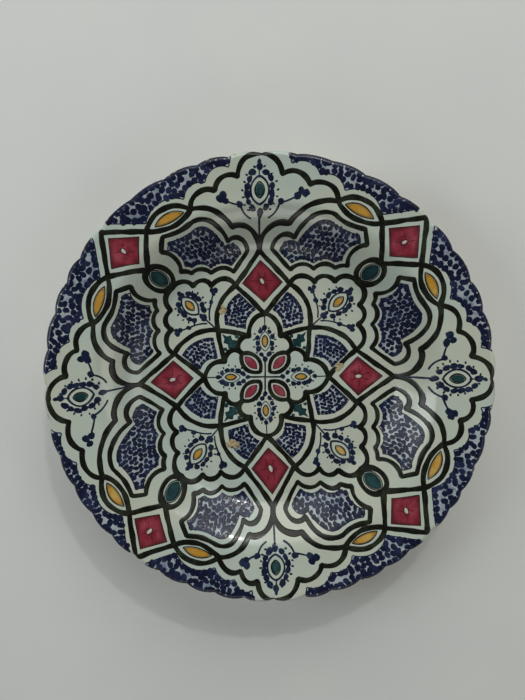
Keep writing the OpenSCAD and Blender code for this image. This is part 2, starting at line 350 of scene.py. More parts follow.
class Body:
    """Gathers the points and faces of many small closed bodies that make one piece."""

    def __init__(self):
        self.points = []
        self.quads = []
        self.tris = []
        self.values = {}
        self.count = 0

    def add(self, points, quads, tris, **values):
        """Takes in one body, its face numbers moved past the points already there."""
        self.points.append(points.reshape(-1, 3))
        self.quads.append(quads.reshape(-1, 4) + self.count)
        self.tris.append(tris.reshape(-1, 3) + self.count)
        for key, value in values.items():
            self.values.setdefault(key, []).append(np.ravel(value))
        self.count += len(self.points[-1])

    def piece(self, name):
        """The mesh object that all the bodies make together."""
        values = {key: np.concatenate(value) for key, value in self.values.items()}
        return make_piece(
            name, np.vstack(self.points), np.vstack(self.quads), np.vstack(self.tris), values
        )


# ---------------------------------------------------------------- thrown shells
def lobe_angles(per_lobe=12):
    """Angles round the plate with a point on every notch and equal steps along each lobe."""
    starts = FIRST_NOTCH + np.concatenate([[0], np.cumsum(LOBE_WIDTHS)[:-1]])
    return (starts[:, None] + LOBE_WIDTHS[:, None] * np.arange(per_lobe) / per_lobe).ravel()


def turned_grid(radii, heights, angles):
    """A profile turned round the axis: each ring near the edge follows the scalloped outline, and all dip
    with the hand's waves. Gives a grid of rings by angles."""
    edge = edge_radius(angles)[None, :]
    n = radii[:, None]
    stretch = (edge - SCALLOP_FROM) / (RIM_R - SCALLOP_FROM)
    r = np.where(n > SCALLOP_FROM, SCALLOP_FROM + (n - SCALLOP_FROM) * stretch, n)
    a = np.radians(angles)[None, :]
    z = heights[:, None] - hand_waves(n, angles[None, :])
    return np.stack([r * np.cos(a), r * np.sin(a), np.broadcast_to(z, r.shape)], axis=-1)


def capped_shell(name, radii, heights):
    """A closed solid of revolution: the profile runs from the top centre round the edge to the bottom centre,
    and the two poles are single points."""
    angles = lobe_angles()
    grid = turned_grid(radii[1:-1], heights[1:-1], angles)
    rings, cols = grid.shape[:2]
    poles = np.array([[0, 0, heights[0] - 0.1], [0, 0, heights[-1] - 0.1]])
    points = np.vstack([grid.reshape(-1, 3), poles])
    quads = grid_faces(rings, cols, False, True)[:, ::-1]
    top = fan(np.arange(cols), rings * cols)
    bottom = fan((rings - 1) * cols + np.arange(cols), rings * cols + 1, upward=False)
    return make_piece(name, points, quads, np.vstack([top, bottom]))


def ring_shell(name, radii, heights, ragged):
    """A closed ring of revolution: the profile is a loop, and its inner points, next to the foot ring, are
    pushed out by the ragged amount given for each angle, which dies away over 24 mm."""
    angles = lobe_angles(8)
    grid = turned_grid(radii, heights, angles)
    out = from_polar(1, angles) * ragged(angles)[:, None]
    near = np.clip(1 - (radii - radii.min()) / 24, 0, 1)
    grid[:, :, :2] += near[:, None, None] * out[None]
    return make_piece(name, grid.reshape(-1, 3), grid_faces(*grid.shape[:2], True, True), NO_TRIS)


def make_face_glaze():
    """The glaze's section: along the face, round the lip, and back under it one glaze thickness lower."""
    top = np.concatenate([
        [0], np.arange(3, 108, 3.0), np.arange(108, 166, 1.2), np.arange(166, 195, 2.4),
        [195.5, 196.6, 197.6, 198.4, 199.0, 199.5, 199.8],
    ])
    lip_r = np.array([RIM_R, RIM_R - 0.1, RIM_R - 0.5, RIM_R - 1.3])
    lip_z = face_height(RIM_R) + np.array([-0.5, -1.2, -1.9, -2.2])
    under = top[::-2]
    under = under[(under < 197) & (under > 0)]
    radii = np.concatenate([top, lip_r, under, [0]])
    low = face_height(np.concatenate([under, [0]])) - FACE_GLAZE_T
    heights = np.concatenate([face_height(top), lip_z, low])
    return capped_shell("face_glaze_skin", radii, heights)


def make_clay_wall():
    """The clay's section: under the face, round the edge, and back along the underside, a little way into
    each of the glazes so that no gap shows between them."""
    top = np.concatenate([[0], np.arange(6, 108, 6.0), np.arange(108, 166, 2.4), np.arange(166, 196, 4.0)])
    back = np.concatenate([np.arange(194, 160, -4.0), np.arange(160, 112, -2.4), np.arange(112, 5, -6.0)])
    edge_r = np.array([198.4, 199.1, 198.9])
    edge_z = face_height(200) + np.array([-1.4, -2.2, -2.9])
    radii = np.concatenate([top, edge_r, back, [0]])
    low = back_height(np.concatenate([back, [0]])) + (BACK_GLAZE_T - CLAY_OVERLAP)
    heights = np.concatenate([face_height(top) - (FACE_GLAZE_T - CLAY_OVERLAP), edge_z, low])
    return capped_shell("clay_wall", radii, heights)


def glaze_drips(angles):
    """How far the back glaze stops short of the foot ring: slow waves plus a few narrow runs."""
    a = np.radians(angles)
    waves = 3.0 + 1.4 * np.sin(5 * a + 1.0) + 1.1 * np.sin(11 * a + 0.3) + 0.6 * np.sin(23 * a)
    runs = 2.6 * np.maximum(0, np.sin(7 * a + 2.0)) ** 12
    return np.clip(waves - runs, 0.4, 8)


def make_back_glaze():
    """A ring of glaze under the wall: out along the back to the lip, and home one glaze thickness higher."""
    out = np.concatenate([
        [FOOT_R + 0.3], np.arange(88, 118, 4.0), np.arange(118, 166, 2.4), np.arange(166, 196, 3.0),
    ])
    lip_r = np.array([197.2, 198.3, 199.0, 199.2, 198.6])
    lip_z = back_height(200) + np.array([-1.1, -0.6, 0.0, 0.6, 0.8])
    home = out[::-2]
    radii = np.concatenate([out, lip_r, home])
    heights = np.concatenate([back_height(out), lip_z, back_height(home) + BACK_GLAZE_T])
    return ring_shell("back_glaze_skin", radii, heights, glaze_drips)


# ---------------------------------------------------------------- painted bodies
STROKE_ACROSS = np.array([-1.0, -0.72, -0.3, 0.3, 0.72, 1.0, 0.6, -0.6])
STROKE_HEIGHT = np.array([0.25, 0.9, 1.0, 1.0, 0.9, 0.25, 0.0, 0.0])
STROKE_DEPTH = np.array([0.05, 0, 0, 0, 0, 0.05, 0.35, 0.35])


FRAY = 0.09


def add_stroke(body, path, width, lift=STROKE_LIFT, overshoot=0.35):
    """One pull of the brush: a lens-shaped section carried along the path. The path is run on past both ends
    by a part of the width, the width swells and thins with a sum of slow sines and closes in a half round at
    the ends, and the whole follows the glaze."""
    first = path[0] - path[1]
    last = path[-1] - path[-2]
    reach = overshoot * width
    path = np.vstack([
        path[0] + first / np.hypot(*first) * reach, path, path[-1] + last / np.hypot(*last) * reach
    ])
    path = resampled(path, max(0.8, min(1.5, width * 0.45)))
    run = running_length(path)
    way = np.gradient(path, axis=0)
    way /= np.hypot(way[:, 0], way[:, 1])[:, None]
    left = np.stack([-way[:, 1], way[:, 0]], axis=-1)
    phase = rng.uniform(0, 6.28, 4)
    sway = np.sin(run / 7.5 + phase[0]) + 0.7 * np.sin(run / 3.1 + phase[1])
    swell = 1 + FRAY * (np.sin(run / 5.3 + phase[2]) + 0.6 * np.sin(run / 2.2 + phase[3]))
    to_end = np.minimum(run, run[-1] - run) / (0.5 * width)
    close = np.sqrt(np.clip(1 - (1 - np.minimum(1, to_end + 0.12)) ** 2, 0.01, 1))
    half = 0.5 * width * swell * close
    middle = path + left * (0.035 * width * sway * np.minimum(1, to_end / 2))[:, None]
    xy = kept_on(middle[:, None, :] + left[:, None, :] * (half[:, None] * STROKE_ACROSS)[..., None])
    z = glaze_top(xy) + lift * close[:, None] * STROKE_HEIGHT - STROKE_DEPTH
    grid = np.concatenate([xy, z[..., None]], axis=-1)
    rows, cols = grid.shape[:2]
    quads = grid_faces(rows, cols, False, True)[:, ::-1]
    cap = np.stack([np.zeros(cols - 2, int), np.arange(1, cols - 1), np.arange(2, cols)], axis=-1)
    caps = np.vstack([cap, cap[:, ::-1] + (rows - 1) * cols])
    edge = np.broadcast_to(np.abs(STROKE_ACROSS), (rows, cols))
    ends = np.broadcast_to(1 - np.minimum(1, to_end / 3)[:, None], (rows, cols))
    tone = np.full((rows, cols), rng.uniform())
    body.add(grid, quads, caps, edge=np.maximum(edge, 0.8 * ends), tone=tone)


def add_lines(body, corners, width, copies=range(8), **how):
    """A drawn line in each copy of the eighth, one pull of the brush for every arc."""
    for copy in copies:
        for i in range(len(corners) - 1):
            add_stroke(body, placed(open_path(corners[i:i + 2]), copy), width, **how)


def add_dabs(body, centres, half_long, half_wide, turn, lift=DAB_LIFT, ground=0.0):
    """Touches of the brush: each is a closed lens with nine points round its edge at a radius that varies by
    a seeded share, raised rings at 0.84 and 0.45 of it, and one point on top and one below. The lift counts
    from the ground, which is how far what lies under the touch stands off the glaze."""
    count = len(centres)
    rim = 9
    ragged = 1 + rng.uniform(-0.16, 0.16, (count, rim))
    offset = ragged_oval(half_long[:, None], half_wide[:, None], turn[:, None], ragged)
    middle = centres[:, None, :]
    rings = [middle + share * offset for share in (1, 0.84, 0.45)]
    xy = kept_on(np.concatenate(rings + [middle, middle], axis=1))
    rise = np.repeat([-0.03, 0.9 * lift, lift, lift, -0.4], [rim, rim, rim, 1, 1])
    points = np.concatenate([xy, (glaze_top(xy) + (ground + rise))[..., None]], axis=-1)
    ring = np.arange(rim)
    quads = grid_faces(3, rim, False, True)
    tris = np.vstack([fan(2 * rim + ring, 3 * rim), fan(ring, 3 * rim + 1, upward=False)])
    size = 3 * rim + 2
    starts = np.arange(count)[:, None, None] * size
    tones = rng.uniform(size=count)
    edge = np.repeat([1, 0.55, 0.2, 0], [rim, rim, rim, 2])
    body.add(
        points, quads[None] + starts, tris[None] + starts,
        edge=np.broadcast_to(edge, (count, size)), tone=np.repeat(tones, size),
    )


def dab_copies(body, dabs, copies, diagonal=False, lift=DAB_LIFT):
    """Dabs listed as (along, across, half length, half width, turn) in the first eighth, in every copy. On a
    diagonal flower the first two run along and across the diagonal."""
    rows = np.array(dabs, float)
    at = rows[:, :2]
    turn = np.radians(rows[:, 4])
    if diagonal:
        s = np.sqrt(0.5)
        at = np.stack([(at[:, 0] - at[:, 1]) * s, (at[:, 0] + at[:, 1]) * s], axis=-1)
        turn = turn + np.pi / 4
    tip = at + 0.5 * np.stack([np.cos(turn), np.sin(turn)], axis=-1)
    for copy in copies:
        centre = placed(at, copy)
        way = placed(tip, copy) - centre
        jitter = rng.normal(0, 0.35, centre.shape)
        grow = rng.uniform(0.88, 1.14, len(rows))
        heading = np.arctan2(way[:, 1], way[:, 0]) + rng.normal(0, 0.15, len(rows))
        add_dabs(body, centre + jitter, rows[:, 2] * grow, rows[:, 3] * grow, heading, lift)


def add_area(body, side_a, side_b, rows, lift):
    """A filled area between two drawn sides with equally many points: a ruled grid between them, raised to
    its lift inside and closed down to the glaze at its border, with a floor a little inside the glaze."""
    v = np.linspace(0, 1, rows)[:, None, None]
    xy = side_a[None] * (1 - v) + side_b[None] * v
    cols = xy.shape[1]
    off_v = np.abs(2 * v[:, :, 0] - 1)
    off_u = np.abs(2 * np.linspace(0, 1, cols)[None] - 1)
    border = (1 - off_v ** 14) * (1 - off_u ** 30)
    top = np.concatenate([xy, (glaze_top(xy) + lift * border)[..., None]], axis=-1)
    low = np.concatenate([xy, (glaze_top(xy) - PAINT_SUNK)[..., None]], axis=-1)
    up = grid_faces(rows, cols, False, False)
    down = up[:, ::-1] + rows * cols
    index = np.arange(rows * cols).reshape(rows, cols)
    loop = np.concatenate([index[0, :-1], index[:-1, -1], index[-1, :0:-1], index[:0:-1, 0]])
    after = np.roll(loop, -1)
    walls = np.stack([after, loop, loop + rows * cols, after + rows * cols], axis=-1)
    du = np.diff(xy, axis=1)[:-1]
    dv = np.diff(xy, axis=0)[:, :-1]
    if np.sum(du[..., 0] * dv[..., 1] - du[..., 1] * dv[..., 0]) < 0:
        up, down, walls = up[:, ::-1], down[:, ::-1], walls[:, ::-1]
    edge = np.maximum(off_v, off_u)
    body.add(
        np.concatenate([top, low]), np.vstack([up, down, walls]), NO_TRIS,
        edge=np.concatenate([edge, edge]), tone=np.full(2 * rows * cols, rng.uniform()),
    )


def outline_sides(corners, first, last, steps, count):
    """A closed outline cut at two of its corners into two sides that run the same way, each with the same
    number of evenly spaced points, stopping just short of the corners."""
    loop = closed_path(corners, steps)
    total = len(loop)
    reach = (last - first) % len(corners) * steps
    ahead = loop[(first * steps + np.arange(reach + 1)) % total]
    behind = loop[(first * steps - np.arange(total - reach + 1)) % total]
    sides = []
    for side in (ahead, behind):
        run = running_length(side)
        sides.append(points_at(side, run, np.linspace(0.006, 0.994, count) * run[-1]))
    return sides


def add_areas(body, corners, split, copies, count, rows):
    """The same filled outline in several copies of the pattern, cut at two corners into its sides."""
    side_a, side_b = outline_sides(corners, *split, 10, count)
    for copy in copies:
        add_area(body, placed(side_a, copy), placed(side_b, copy), rows, PAINT_LIFT)


def inside(points, outline):
    """Whether each point lies in the outline, by counting the edges that a ray to the right crosses."""
    x, y = points[:, 0][:, None], points[:, 1][:, None]
    x0, y0 = outline[:, 0][None], outline[:, 1][None]
    x1, y1 = np.roll(outline, -1, axis=0).T[:, None]
    crosses = (y0 > y) != (y1 > y)
    with np.errstate(divide="ignore", invalid="ignore"):
        at = x0 + (y - y0) * (x1 - x0) / (y1 - y0)
    return (np.sum(crosses & (x < at), axis=1) % 2) == 1


FLAKE_ROOM = 1.0


def off_the_flakes(points):
    """Whether each point is clear of the flaked spots, by a millimetre round their ovals."""
    clear = np.ones(len(points), bool)
    for x, y, half_long, half_wide, turn in FLAKES:
        a = np.radians(turn)
        dx, dy = points[:, 0] - x, points[:, 1] - y
        u = (dx * np.cos(a) + dy * np.sin(a)) / (half_long + FLAKE_ROOM)
        v = (-dx * np.sin(a) + dy * np.cos(a)) / (half_wide + FLAKE_ROOM)
        clear &= u * u + v * v > 1
    return clear


def far_from(points, outline):
    """Distance from each point to the nearest point of an outline."""
    near = resampled(joined_up(outline), 0.7)
    return np.min(np.hypot(*(points[:, None] - near[None]).transpose(2, 0, 1)), axis=1)


def fill_with_dabs(body, outline, pitch, size, inset, lift):
    """Touches that fill an outline: one row follows the outline at the given inset, and a triangular grid
    turned by a seeded angle fills the middle. Each is a little oval that leans its own way."""
    loop = resampled(joined_up(outline), 0.8)
    along = np.roll(loop, -1, axis=0) - np.roll(loop, 1, axis=0)
    along /= np.maximum(np.hypot(along[:, 0], along[:, 1]), 1e-6)[:, None]
    turn = np.sign(np.sum(loop[:-1, 0] * loop[1:, 1] - loop[1:, 0] * loop[:-1, 1]))
    row = loop + inset * turn * np.stack([-along[:, 1], along[:, 0]], axis=-1)
    row = row[far_from(row, outline) > 0.86 * inset]
    row = resampled(row, 0.96 * pitch)[:-1]
    low, high = outline.min(axis=0) - pitch, outline.max(axis=0) + pitch
    nx, ny = (int(n) for n in np.ceil((high - low) / pitch * 1.6))
    gx, gy = np.meshgrid(np.arange(-nx, nx), np.arange(-ny, ny), indexing="ij")
    grid = np.stack([(gx + 0.5 * (gy % 2)) * pitch, gy * pitch * 0.866], axis=-1).reshape(-1, 2)
    a = rng.uniform(0, np.pi)
    grid = grid @ np.array([[np.cos(a), np.sin(a)], [-np.sin(a), np.cos(a)]]) + (low + high) / 2
    grid = grid[np.all((grid > low) & (grid < high), axis=1)]
    grid = grid[inside(grid, outline)]
    grid = grid[far_from(grid, outline) > inset + 0.5 * pitch]
    grid = np.vstack([grid, row])
    grid += rng.uniform(-0.13, 0.13, grid.shape) * pitch
    grid = grid[inside(grid, outline) & off_the_flakes(grid)]
    long = size * rng.uniform(0.92, 1.22, len(grid))
    wide = size * rng.uniform(0.78, 1.0, len(grid))
    add_dabs(body, grid, long, wide, rng.uniform(0, np.pi, len(grid)), lift, WASH_LIFT)


# ---------------------------------------------------------------- outlines of the drawing, first eighth
CLOUD = [
    [107, 28.5, 0.4], [106.5, 48.5, 0.4], [106.5, 66.5, 0.2], [107.5, 72.5, 0.45], [120.5, 85],
    [127, 83, 0.1], [137, 61, -0.36], [137, 45, -0.1], [124.5, 33.5, -0.6], [119.5, 18.5],
]
FAN = [[62.5, 8], [78.8, 22.8, 0.3], [49.5, 37.2], [45.5, 18, -0.36]]
RIM_FIELD_INNER = [
    [198, 22.5, 0.2], [187, 26.5, 0.5], [175.8, 48.5, 0.5], [162.5, 68, 0.45], [143.6, 101],
    [146.3, 132], [149, 138.2],
]
MIDDLE_DIAMOND = [[69.5, 0], [88, -18.5], [111, 0], [88, 18.5]]
CORNER_SQUARE = [[109.3, 109.3], [132.8, 107], [133.5, 133.5], [107, 132.8]]
RED_PETAL = [[7.4, 7.4, 0.5], [19.5, 19.5, 0.5]]
YELLOW_LEAF = [[151.3, 69.5, 0.4], [140.8, 92.5, 0.2]]
GREEN_LEAF = [[90.4, 90.4, 0.78], [101.6, 101.6, 0.78]]
GREEN_STAR = [
    [26, 26], [30.3, 27.7], [34.8, 26.8], [35.2, 31], [39.4, 32.2], [38.4, 36.2], [41, 41],
    [36.2, 38.4], [32.2, 39.4], [31, 35.2], [26.8, 34.8], [27.7, 30.3],
]
EIGHTHS = range(8)
QUARTERS = range(0, 8, 2)
STRAP = 4.9
STRAPS = [
    ([[58.5, 0], [86.5, 25], [121, 0]], STRAP),
    ([[86.5, 25, 0.32], [44.2, 44.2, 0.06], [14.8, 38.5]], STRAP),
    ([[58.5, 0, 0.44], [38, 14.8, 0.8], [21.5, 21.5]], STRAP),
    ([[5, 4.6, 0.6], [22, 21.5]], 4.1),
    ([[86.5, 25, 0.6], [88, 48.5, 0.62], [89, 67, 0.55], [87.3, 87.3]], STRAP),
    ([[88.3, 88.3, 0.97], [104, 103.6]], STRAP),
    ([[103.4, 103.4], [136.8, 100.9], [139.5, 139.5]], STRAP),
    ([[197, 0, 0.42], [179.5, 19.2, 0.51], [169.3, 40.3, 0.54], [154.3, 62.6, 0.49], [136.8, 100.9]], STRAP),
    ([[121, 0, 0.54], [140.2, 25.5, 0.3], [154.3, 62.6, -0.31], [136.8, 100.9]], STRAP),
    ([
        [100.5, 26.5, 0.45], [101, 48.5, 0.45], [101.5, 67.5, 0.2], [102.5, 77.5, 0.5], [119, 90.5],
        [131.5, 87.5, 0.13], [142.5, 63, -0.32], [143, 42.5, -0.15], [129, 30.5, -0.64], [121.5, 11.5],
        [100.5, 26.5],
    ], 4.2),
]


def lens(start, end, bulge):
    """A pointed oval drawn round from its start: two arcs of one bulge."""
    return [[*start, bulge], [*end, bulge], start]


def painted_areas(name, shapes):
    """One piece from filled outlines, each with its splitting corners, its copies, and the points along and
    across it."""
    body = Body()
    for shape in shapes:
        add_areas(body, *shape)
    return body.piece(name)


# ---------------------------------------------------------------- the pieces
glaze = make_face_glaze()
clay_wall = make_clay_wall()
back_glaze = make_back_glaze()

straps = Body()
for corners, width in STRAPS:
    add_lines(straps, corners, width)
straps = straps.piece("strap_lines_brushed")


def rim_field_sides(copy):
    """Inner side from the drawing, outer side at the same angles on the turn of the lip. The inner
    side stops where it would pass the outer one."""
    inner = placed(resampled(open_path(RIM_FIELD_INNER), 1.6), copy)
    r, angle = polar(inner)
    limit = edge_radius(angle) - 0.3
    keep = r < limit - 0.6
    return inner[keep], from_polar(limit[keep], angle[keep])


def paint_rim_field(copy):
    """One blue field on the rim: a wash, a solid hem of blue with a wavy inner side along the lip, rows of
    touches, and a line along its inner side."""
    inner, outer = rim_field_sides(copy)
    add_area(rim_wash, inner, outer, 20, WASH_LIFT)
    hem = outer * (0.9862 + 0.0035 * np.sin(np.arange(len(outer)) * 0.9 + copy))[:, None]
    hem = np.where((np.hypot(*(hem - inner).T) > 2.5)[:, None], hem, outer * 0.997)
    add_area(rim_dabs, hem, outer, 8, PAINT_LIFT)
    fill_with_dabs(rim_dabs, np.vstack([inner, outer[::-1] * 0.993]), 5.7, 3.15, 2.2, DAB_LIFT)
    add_stroke(rim_dabs, inner, 1.2, lift=BORDER_LIFT, overshoot=0)


def paint_field(wash, dabs, corners, split, grid, touches, border, copy):
    """One inner blue field: a wash in a grid of points along and across it, touches of a given pitch, size
    and inset, and a line of the border's width round it."""
    along, across = grid
    side_a, side_b = outline_sides(corners, *split, 12, along)
    add_area(wash, placed(side_a, copy), placed(side_b, copy), across, WASH_LIFT)
    outline = placed(closed_path(corners, 12), copy)
    fill_with_dabs(dabs, outline, *touches, FIELD_DAB_LIFT)
    add_stroke(dabs, joined_up(outline), border, lift=BORDER_LIFT, overshoot=0)


rim_wash = Body()
cloud_wash = Body()
fan_wash = Body()
rim_dabs = Body()
cloud_dabs = Body()
fan_dabs = Body()
for copy in EIGHTHS:
    paint_rim_field(copy)
    paint_field(cloud_wash, cloud_dabs, CLOUD, (9, 4), (72, 20), (4.3, 2.35, 1.6), 1.15, copy)
    paint_field(fan_wash, fan_dabs, FAN, (0, 2), (26, 14), (3.7, 2.04, 1.4), 1.0, copy)
rim_wash = rim_wash.piece("rim_field_wash")
cloud_wash = cloud_wash.piece("cloud_wash")
fan_wash = fan_wash.piece("fan_wash")
rim_dabs = rim_dabs.piece("rim_field_dabs")
cloud_dabs = cloud_dabs.piece("cloud_dabs")
fan_dabs = fan_dabs.piece("fan_dabs")

middle_diamonds = painted_areas("middle_diamonds", [(MIDDLE_DIAMOND, (0, 2), QUARTERS, 34, 30)])
corner_squares = painted_areas("corner_squares", [(CORNER_SQUARE, (0, 2), QUARTERS, 36, 36)])
red_petals = painted_areas("red_petals_brushed", [(RED_PETAL, (0, 1), QUARTERS, 18, 9)])
yellow_leaves = painted_areas("yellow_leaves_brushed", [(YELLOW_LEAF, (0, 1), EIGHTHS, 18, 9)])
green_leaves = painted_areas("green_leaves_brushed", [(GREEN_LEAF, (0, 1), QUARTERS, 18, 12)])
green_stars = Body()
add_areas(green_stars, GREEN_STAR, (0, 6), QUARTERS, 37, 13)
dab_copies(green_stars, [[38.0, 26.4, 2.2, 2.0, 0]], EIGHTHS)
green_stars = green_stars.piece("green_stars_brushed")

# Fine dark lines round the leaves, the diamonds, the squares and the eyes of the flowers, and across the
# middle of the plate.
fine_lines = Body()
add_lines(fine_lines, [[151.7, 68.7, 0.41], [140.3, 93.4]], 1.1)
add_lines(fine_lines, [[140.3, 93.4, 0.22], [151.7, 68.7]], 1.1)
add_lines(fine_lines, MIDDLE_DIAMOND + MIDDLE_DIAMOND[:1], 0.8, QUARTERS)
add_lines(fine_lines, CORNER_SQUARE + CORNER_SQUARE[:1], 0.8, QUARTERS)
add_lines(fine_lines, lens([89.9, 89.9], [102.1, 102.1], 0.79), 1.0, QUARTERS)
add_lines(fine_lines, lens([27.6, 0], [38.9, 0], 0.5), 1.2, QUARTERS)
add_lines(fine_lines, lens([65.6, 65.6], [74.7, 74.7], 0.52), 1.2, QUARTERS)
add_lines(fine_lines, lens([161.4, 0], [174.9, 0], 0.62), 1.3, QUARTERS)
add_lines(fine_lines, [[-0.7, 0], [15, 0]], 1.7, QUARTERS, overshoot=0)
add_lines(fine_lines, [[48, 0], [56.5, 0]], 1.2, QUARTERS)
fine_lines = fine_lines.piece("fine_outlines")

axis_flowers = Body()
AXIS_DABS = [
    [154, 5.85, 3.5, 2.83, 40], [158.8, 9.27, 3.64, 2.69, 30], [165, 10.8, 3.76, 2.69, 5],
    [171.3, 10.8, 3.76, 2.69, -5], [177.3, 9.18, 3.64, 2.83, -25], [182, 5.85, 3.5, 2.96, -45],
    [157.2, 18, 3.31, 2.96, 60], [160.4, 31.2, 3.76, 3.31, 60], [165.2, 32.8, 3.65, 3.19, 0],
    [162.2, 36.6, 3.76, 3.31, 40],
]
dab_copies(axis_flowers, AXIS_DABS, EIGHTHS)
dab_copies(axis_flowers, [[150.3, 0, 4.0, 3.0, 0], [186, 0, 3.6, 3.0, 0], [190.6, 0, 2.4, 1.9, 0]], QUARTERS)
AXIS_TICKS = [
    [152, 9.12, 1.46, 0.97, 80], [156.4, 12.61, 1.46, 0.97, 110], [162, 14.74, 1.46, 0.97, 95],
    [168, 15.13, 1.46, 0.97, 80], [174.6, 13.58, 1.46, 0.97, 70], [180.6, 10.28, 1.46, 0.97, 50],
    [186, 4.46, 1.46, 0.97, 60],
]
dab_copies(axis_flowers, AXIS_TICKS, EIGHTHS, lift=TICK_LIFT)
add_lines(axis_flowers, lens([156.2, 0], [179.6, 0], 0.68), 1.9, QUARTERS)
add_lines(axis_flowers, [[123, 0], [147.6, 0]], 1.9, QUARTERS)
add_lines(axis_flowers, [[178, 0], [184.5, 0]], 1.3, QUARTERS)
add_lines(axis_flowers, [[146, 8, -0.25], [156.5, 17, -0.1], [160, 29]], 1.8)
axis_flowers = axis_flowers.piece("axis_flower_strokes")

corner_flowers = Body()
CORNER_DABS = [
    [86, -6.14, 3.42, 2.88, -35], [91.3, -9.11, 3.56, 2.74, -25], [97.3, -10.23, 3.7, 2.74, -5],
    [103.4, -9.67, 3.56, 2.74, 15], [108.6, -6.7, 3.42, 2.88, 35],
]
dab_copies(corner_flowers, CORNER_DABS, EIGHTHS, diagonal=True)
CORNER_ENDS = [
    [80.2, 1.4, 2.76, 2.42, 0], [80.2, -1.4, 2.76, 2.42, 0], [83.4, 0, 2.76, 2.3, 0],
    [112, 1.5, 2.76, 2.42, 0], [112, -1.5, 2.76, 2.42, 0], [115.2, 0, 2.88, 2.42, 0],
]
dab_copies(corner_flowers, CORNER_ENDS, QUARTERS, diagonal=True)
SPRIG_DABS = [
    [71.5, 49.4, 2.6, 2.3, 0], [80.4, 46.6, 2.7, 2.4, 0], [84.0, 47.6, 2.6, 2.3, 0],
    [83.2, 43.9, 2.7, 2.4, 0],
]
dab_copies(corner_flowers, SPRIG_DABS, EIGHTHS)
CORNER_TICKS = [
    [84, -9.5, 1.35, 0.93, 60], [89, -12.73, 1.35, 0.93, 70], [95, -14.25, 1.35, 0.93, 90],
    [101.6, -14.25, 1.35, 0.93, 100], [107.4, -11.4, 1.35, 0.93, 120],
]
dab_copies(corner_flowers, CORNER_TICKS, EIGHTHS, diagonal=True, lift=TICK_LIFT)
add_lines(corner_flowers, lens([61.6, 61.6], [78.3, 78.3], 0.58), 1.9, QUARTERS)
add_lines(corner_flowers, [[46, 46], [55.4, 55.4]], 1.6, QUARTERS)
add_lines(corner_flowers, [[54.5, 51.5, -0.12], [69.5, 49.6], [79, 46.8]], 1.7)
corner_flowers = corner_flowers.piece("corner_flower_strokes")

petal_flowers = Body()
PETAL_DABS = [
    [21, 3.86, 2.75, 2.33, 35], [26, 6.05, 2.88, 2.33, 20], [31.5, 7.06, 2.88, 2.33, 0],
    [37, 6.55, 2.88, 2.33, -15], [41.5, 4.37, 2.75, 2.33, -35],
]
dab_copies(petal_flowers, PETAL_DABS, EIGHTHS)
dab_copies(petal_flowers, [[16.5, 0, 2.9, 2.4, 0], [45.5, 0, 2.8, 2.5, 0]], QUARTERS)
PETAL_TICKS = [
    [23, 7.91, 1.22, 0.79, 70], [28.6, 10.3, 1.22, 0.79, 80], [34.6, 10.86, 1.22, 0.79, 95],
    [40, 9.2, 1.22, 0.79, 60], [45, 4.23, 1.22, 0.79, 30],
]
dab_copies(petal_flowers, PETAL_TICKS, EIGHTHS, lift=PETAL_TICK_LIFT)
add_lines(petal_flowers, lens([24, 0], [42.5, 0], 0.56), 0.9, QUARTERS)
petal_flowers = petal_flowers.piece("petal_flower_strokes")

AXIS_EYE = [[162.3, 0, 0.62], [174, 0, 0.62]]
CORNER_EYE = [[66.3, 66.3, 0.5], [74, 74, 0.5]]
PETAL_EYE = [[28.5, 0, 0.46], [38, 0, 0.46]]
green_eyes = painted_areas("axis_flower_eyes", [(AXIS_EYE, (0, 1), QUARTERS, 16, 8)])
yellow_eyes = painted_areas("yellow_flower_eyes", [
    (CORNER_EYE, (0, 1), QUARTERS, 14, 8),
    (PETAL_EYE, (0, 1), QUARTERS, 14, 8),
])

# Second brushing of the diamonds and squares: short strokes that spread from the spot in the middle, and a
# ring round it.
diamond_touches = Body()
for side in (-1, 1):
    add_lines(diamond_touches, [[86, side * 2], [80, side * 4.4]], 1.0, QUARTERS)
    add_lines(diamond_touches, [[93, side * 2], [99, side * 3.4]], 1.0, QUARTERS)
    add_lines(diamond_touches, [[89.5, side * 3], [89.5, side * 10.5]], 0.9, QUARTERS)
    add_lines(diamond_touches, [[121 + side * 3.4, 121], [121 + side * 8.6, 122]], 0.9, QUARTERS)
    add_lines(diamond_touches, [[121, 121 + side * 3.4], [120, 121 + side * 8.6]], 0.9, QUARTERS)
add_lines(diamond_touches, lens([85.2, 0], [94, 0], 0.5), 1.0, QUARTERS)
add_lines(diamond_touches, lens([117.8, 119.2], [124.2, 122.8], 0.62), 1.0, QUARTERS)
diamond_touches = diamond_touches.piece("diamond_dark_touches")

# White spots left in the middle of the diamonds and squares.
white_spots = Body()
dab_copies(white_spots, [[89.5, 0, 3.3, 1.6, 8]], QUARTERS, lift=SPOT_LIFT)
dab_copies(white_spots, [[121, 121, 2.9, 1.6, 28]], QUARTERS, lift=SPOT_LIFT)
white_spots = white_spots.piece("diamond_white_spots")


